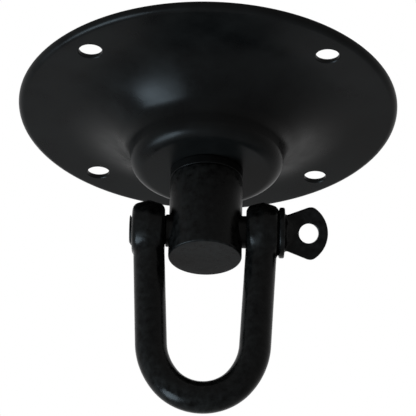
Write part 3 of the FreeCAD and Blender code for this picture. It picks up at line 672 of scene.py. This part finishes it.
def noise(tree, scale, detail):
    """Noise over the object's own coordinates, with scale per metre."""
    place = tree.nodes.new("ShaderNodeTexCoord")
    texture = add_node(tree, "ShaderNodeTexNoise", Scale=scale, Detail=detail, Roughness=NOISE_ROUGHNESS)
    tree.links.new(place.outputs["Object"], texture.inputs["Vector"])
    return texture.outputs["Fac"]


def spread(tree, source, low, high, start=NOISE_LOW, end=NOISE_HIGH):
    """Value that goes from low to high as the source goes from start to end."""
    node = add_node(tree, "ShaderNodeMapRange", From_Min=start, From_Max=end, To_Min=low, To_Max=high)
    tree.links.new(source, node.inputs["Value"])
    return node.outputs["Result"]


def bump(tree, shader, scale, detail, height):
    """Noisy bump of a given height in millimetres, on top of the shader's other bumps."""
    node = add_node(tree, "ShaderNodeBump", Strength=1.0, Distance=height * MM)
    tree.links.new(noise(tree, scale, detail), node.inputs["Height"])
    previous = shader.inputs["Normal"].links
    if previous:
        tree.links.new(previous[0].from_socket, node.inputs["Normal"])
    tree.links.new(node.outputs["Normal"], shader.inputs["Normal"])


def uneven_gloss(tree, shader, source, roughness, shares):
    """Roughness between two shares of its mean that follows a noise."""
    low, high = shares
    tree.links.new(spread(tree, source, roughness * low, roughness * high), shader.inputs["Roughness"])


def blend_colour(tree, source, dark, light):
    """Colour between two tones that follows a noise."""
    node = tree.nodes.new("ShaderNodeValToRGB")
    first, last = node.color_ramp.elements
    first.position = NOISE_LOW
    first.color = (*dark, 1)
    last.position = NOISE_HIGH
    last.color = (*light, 1)
    tree.links.new(source, node.inputs["Fac"])
    return node.outputs["Color"]


def painted_edge_highlight(tree):
    """Share of the painted edge highlight, from none on flat and hollow places to full on the sharpest
    edges.
    """
    geometry = tree.nodes.new("ShaderNodeNewGeometry")
    ruffle = spread(tree, noise(tree, *EDGE_HIGHLIGHT_RUFFLE), -EDGE_HIGHLIGHT_RUFFLE_SIZE, EDGE_HIGHLIGHT_RUFFLE_SIZE)
    sharpness = add_math(tree, "ADD", geometry.outputs["Pointiness"], ruffle)
    return spread(tree, sharpness, 0.0, 1.0, EDGE_HIGHLIGHT_START, EDGE_HIGHLIGHT_END)


def black_paint(name, roughness, rough=False, edge_highlit=False):
    """Black paint with orange peel, pitted and dented if rough, and with a highlight painted lighter on
    its sharp edges if asked.
    """
    material, tree, shader = new_material(
        name, PAINT_COLOUR, metallic=0.0, roughness=roughness, ior=PAINT_IOR
    )
    patches = noise(tree, *(ROUGH_PATCHES if rough else SMOOTH_PATCHES))
    dark, light = ROUGH_TONES if rough else SMOOTH_TONES
    uneven_gloss(tree, shader, patches, roughness, PAINT_GLOSS_SHARES)
    colour = blend_colour(tree, patches, (dark, dark, dark), (light, light, light * TONE_WARMTH))
    if edge_highlit:
        # Painted highlight: the base colour turns lighter on the sharpest edges
        lit_edges = tree.nodes.new("ShaderNodeMix")
        lit_edges.data_type = "RGBA"
        lit_edges.inputs["B"].default_value = (*EDGE_HIGHLIGHT_COLOUR, 1)
        tree.links.new(painted_edge_highlight(tree), lit_edges.inputs["Factor"])
        tree.links.new(colour, lit_edges.inputs["A"])
        colour = lit_edges.outputs["Result"]
    tree.links.new(colour, shader.inputs["Base Color"])
    bump(tree, shader, *ORANGE_PEEL)
    if rough:
        bump(tree, shader, *DENTS)
        bump(tree, shader, *PITS)
    return material


def steel(name, colour, roughness):
    """Bare or plated steel with fine marks."""
    material, tree, shader = new_material(name, colour, metallic=1.0, roughness=roughness)
    patches = noise(tree, *STEEL_PATCHES)
    uneven_gloss(tree, shader, patches, roughness, STEEL_GLOSS_SHARES)
    darker = tuple(channel * STEEL_DARKER for channel in colour)
    tree.links.new(blend_colour(tree, patches, darker, colour), shader.inputs["Base Color"])
    bump(tree, shader, *STEEL_MARKS)
    return material


def dress(item, material, body=None, replaces=None):
    """Give an item its material, body and the node that it stands for."""
    item.data.materials.clear()
    item.data.materials.append(material)
    if body:
        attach(item, body)
    if replaces:
        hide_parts(replaces)


# Stage
def make_stage():
    """Pale floor well below the ceiling, which whitens towards the horizon."""
    mesh = bpy.data.meshes.new("floor")
    signs = ((-1, -1), (1, -1), (1, 1), (-1, 1))
    corners = [(x * STAGE_REACH, y * STAGE_REACH, STAGE_LEVEL) for x, y in signs]
    mesh.from_pydata(corners, [], [(0, 1, 2, 3)])
    floor = bpy.data.objects.new("floor", mesh)
    bpy.context.scene.collection.objects.link(floor)
    material, tree, shader = new_material(
        "floor_paint", STAGE_COLOUR, metallic=0.0, roughness=STAGE_ROUGHNESS
    )
    shader.inputs["Emission Color"].default_value = (1, 1, 1, 1)
    place = tree.nodes.new("ShaderNodeTexCoord")
    distance = tree.nodes.new("ShaderNodeVectorMath")
    distance.operation = "LENGTH"
    tree.links.new(place.outputs["Object"], distance.inputs[0])
    whiteness = add_node(tree, "ShaderNodeMapRange", From_Min=FADE_START, From_Max=FADE_END)
    whiteness.inputs["To Min"].default_value = NEAR_GLOW
    whiteness.inputs["To Max"].default_value = FAR_GLOW
    whiteness.interpolation_type = "SMOOTHSTEP"
    tree.links.new(distance.outputs["Value"], whiteness.inputs["Value"])
    glow = add_math(tree, "MULTIPLY", whiteness.outputs["Result"], seen_directly(tree))
    tree.links.new(glow, shader.inputs["Emission Strength"])
    floor.data.materials.append(material)


def seen_directly(tree):
    """One for rays from the camera, a reflection or a clear piece, and none for rays that light."""
    path = tree.nodes.new("ShaderNodeLightPath")
    seen = path.outputs["Is Camera Ray"]
    for kind in ("Is Glossy Ray", "Is Transmission Ray"):
        seen = add_math(tree, "MAXIMUM", seen, path.outputs[kind])
    return seen


def make_lamp(name, place, aim, width, height, power, colour=(1, 1, 1)):
    """Oval lamp that the camera doesn't see."""
    light = bpy.data.lights.new(name, "AREA")
    light.shape = "ELLIPSE"
    light.size = width
    light.size_y = height
    light.energy = power
    light.color = colour
    lamp = bpy.data.objects.new(name, light)
    lamp.location = place
    lamp.rotation_euler = (Vector(aim) - Vector(place)).to_track_quat("-Z", "Y").to_euler()
    lamp.visible_camera = False
    bpy.context.scene.collection.objects.link(lamp)


def make_world():
    """World that lights softly and is white where it is seen."""
    world = bpy.data.worlds.new("studio")
    world.use_nodes = True
    bpy.context.scene.world = world
    tree = world.node_tree
    tree.nodes.clear()
    soft = add_node(tree, "ShaderNodeBackground", Color=(1, 1, 1, 1), Strength=SOFT_LIGHT)
    backdrop = add_node(tree, "ShaderNodeBackground", Color=(1, 1, 1, 1), Strength=1.0)
    mix = tree.nodes.new("ShaderNodeMixShader")
    tree.links.new(seen_directly(tree), mix.inputs["Fac"])
    tree.links.new(soft.outputs["Background"], mix.inputs[1])
    tree.links.new(backdrop.outputs["Background"], mix.inputs[2])
    output = tree.nodes.new("ShaderNodeOutputWorld")
    tree.links.new(mix.outputs["Shader"], output.inputs["Surface"])


def make_camera():
    """Camera at the photograph's place, turned about its view by the roll."""
    data = bpy.data.cameras.new("camera")
    data.lens = CAMERA_LENS
    data.sensor_width = CAMERA_SENSOR
    data.clip_start = CAMERA_CLIP
    camera = bpy.data.objects.new("camera", data)
    forward = Vector((0, math.cos(CAMERA_PITCH), math.sin(CAMERA_PITCH)))
    camera.location = CAMERA_TARGET - forward * CAMERA_DISTANCE
    level = forward.to_track_quat("-Z", "Y").to_matrix()
    camera.rotation_euler = (level @ Matrix.Rotation(CAMERA_ROLL, 3, "Z")).to_euler()
    bpy.context.scene.collection.objects.link(camera)
    bpy.context.scene.camera = camera


make_camera()
make_world()
make_stage()
make_lamp(
    "key",
    place=(-0.547, -0.145, -0.644),
    aim=(-0.02, -0.02, -0.015),
    width=0.58,
    height=0.34,
    power=13.5,
    colour=(0.68, 0.86, 1.0),
)
make_lamp("top", place=(0.2, -0.1, 1.8), aim=(0, 0, 0), width=2.2, height=2.2, power=17.0)

paint = black_paint("gloss_black_paint", roughness=0.31)
# The forged paint gets a painted highlight on its sharp edges
forged_paint = black_paint("forged_black_paint", roughness=0.23, rough=True, edge_highlit=True)
rough_paint = black_paint("rough_black_paint", roughness=0.31, rough=True)
ground_steel = steel("ground_steel", colour=(0.62, 0.62, 0.64), roughness=0.18)
pressed_steel = steel("pressed_steel", colour=(0.48, 0.48, 0.49), roughness=0.35)
plated_steel = steel("zinc_plated_steel", colour=(0.60, 0.61, 0.63), roughness=0.36)

dress(make_plate(), paint, "ceiling_mount", "ceiling_plate")
dress(make_guide_washer(), paint, "swivel", "guide_washer")
for part in make_spindle():
    dress(part, rough_paint, "swivel", "spindle")
dress(make_shackle(), forged_paint, "shackle", "shackle_bow")
head, *rods = make_pin()
dress(head, forged_paint, "pin", "screw_pin")
for part in rods:
    dress(part, rough_paint, "pin", "screw_pin")
for node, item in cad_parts.items():
    if node.startswith("bearing_ball") or node in ("bearing_housing_race", "bearing_shaft_race"):
        dress(item, ground_steel)
    elif node == "bearing_cage":
        dress(item, pressed_steel)
    elif node in ("nut_washer", "castle_nut", "split_pin"):
        dress(item, plated_steel)

scene = bpy.context.scene
scene.view_settings.view_transform = "Standard"

bpy.context.view_layer.update()
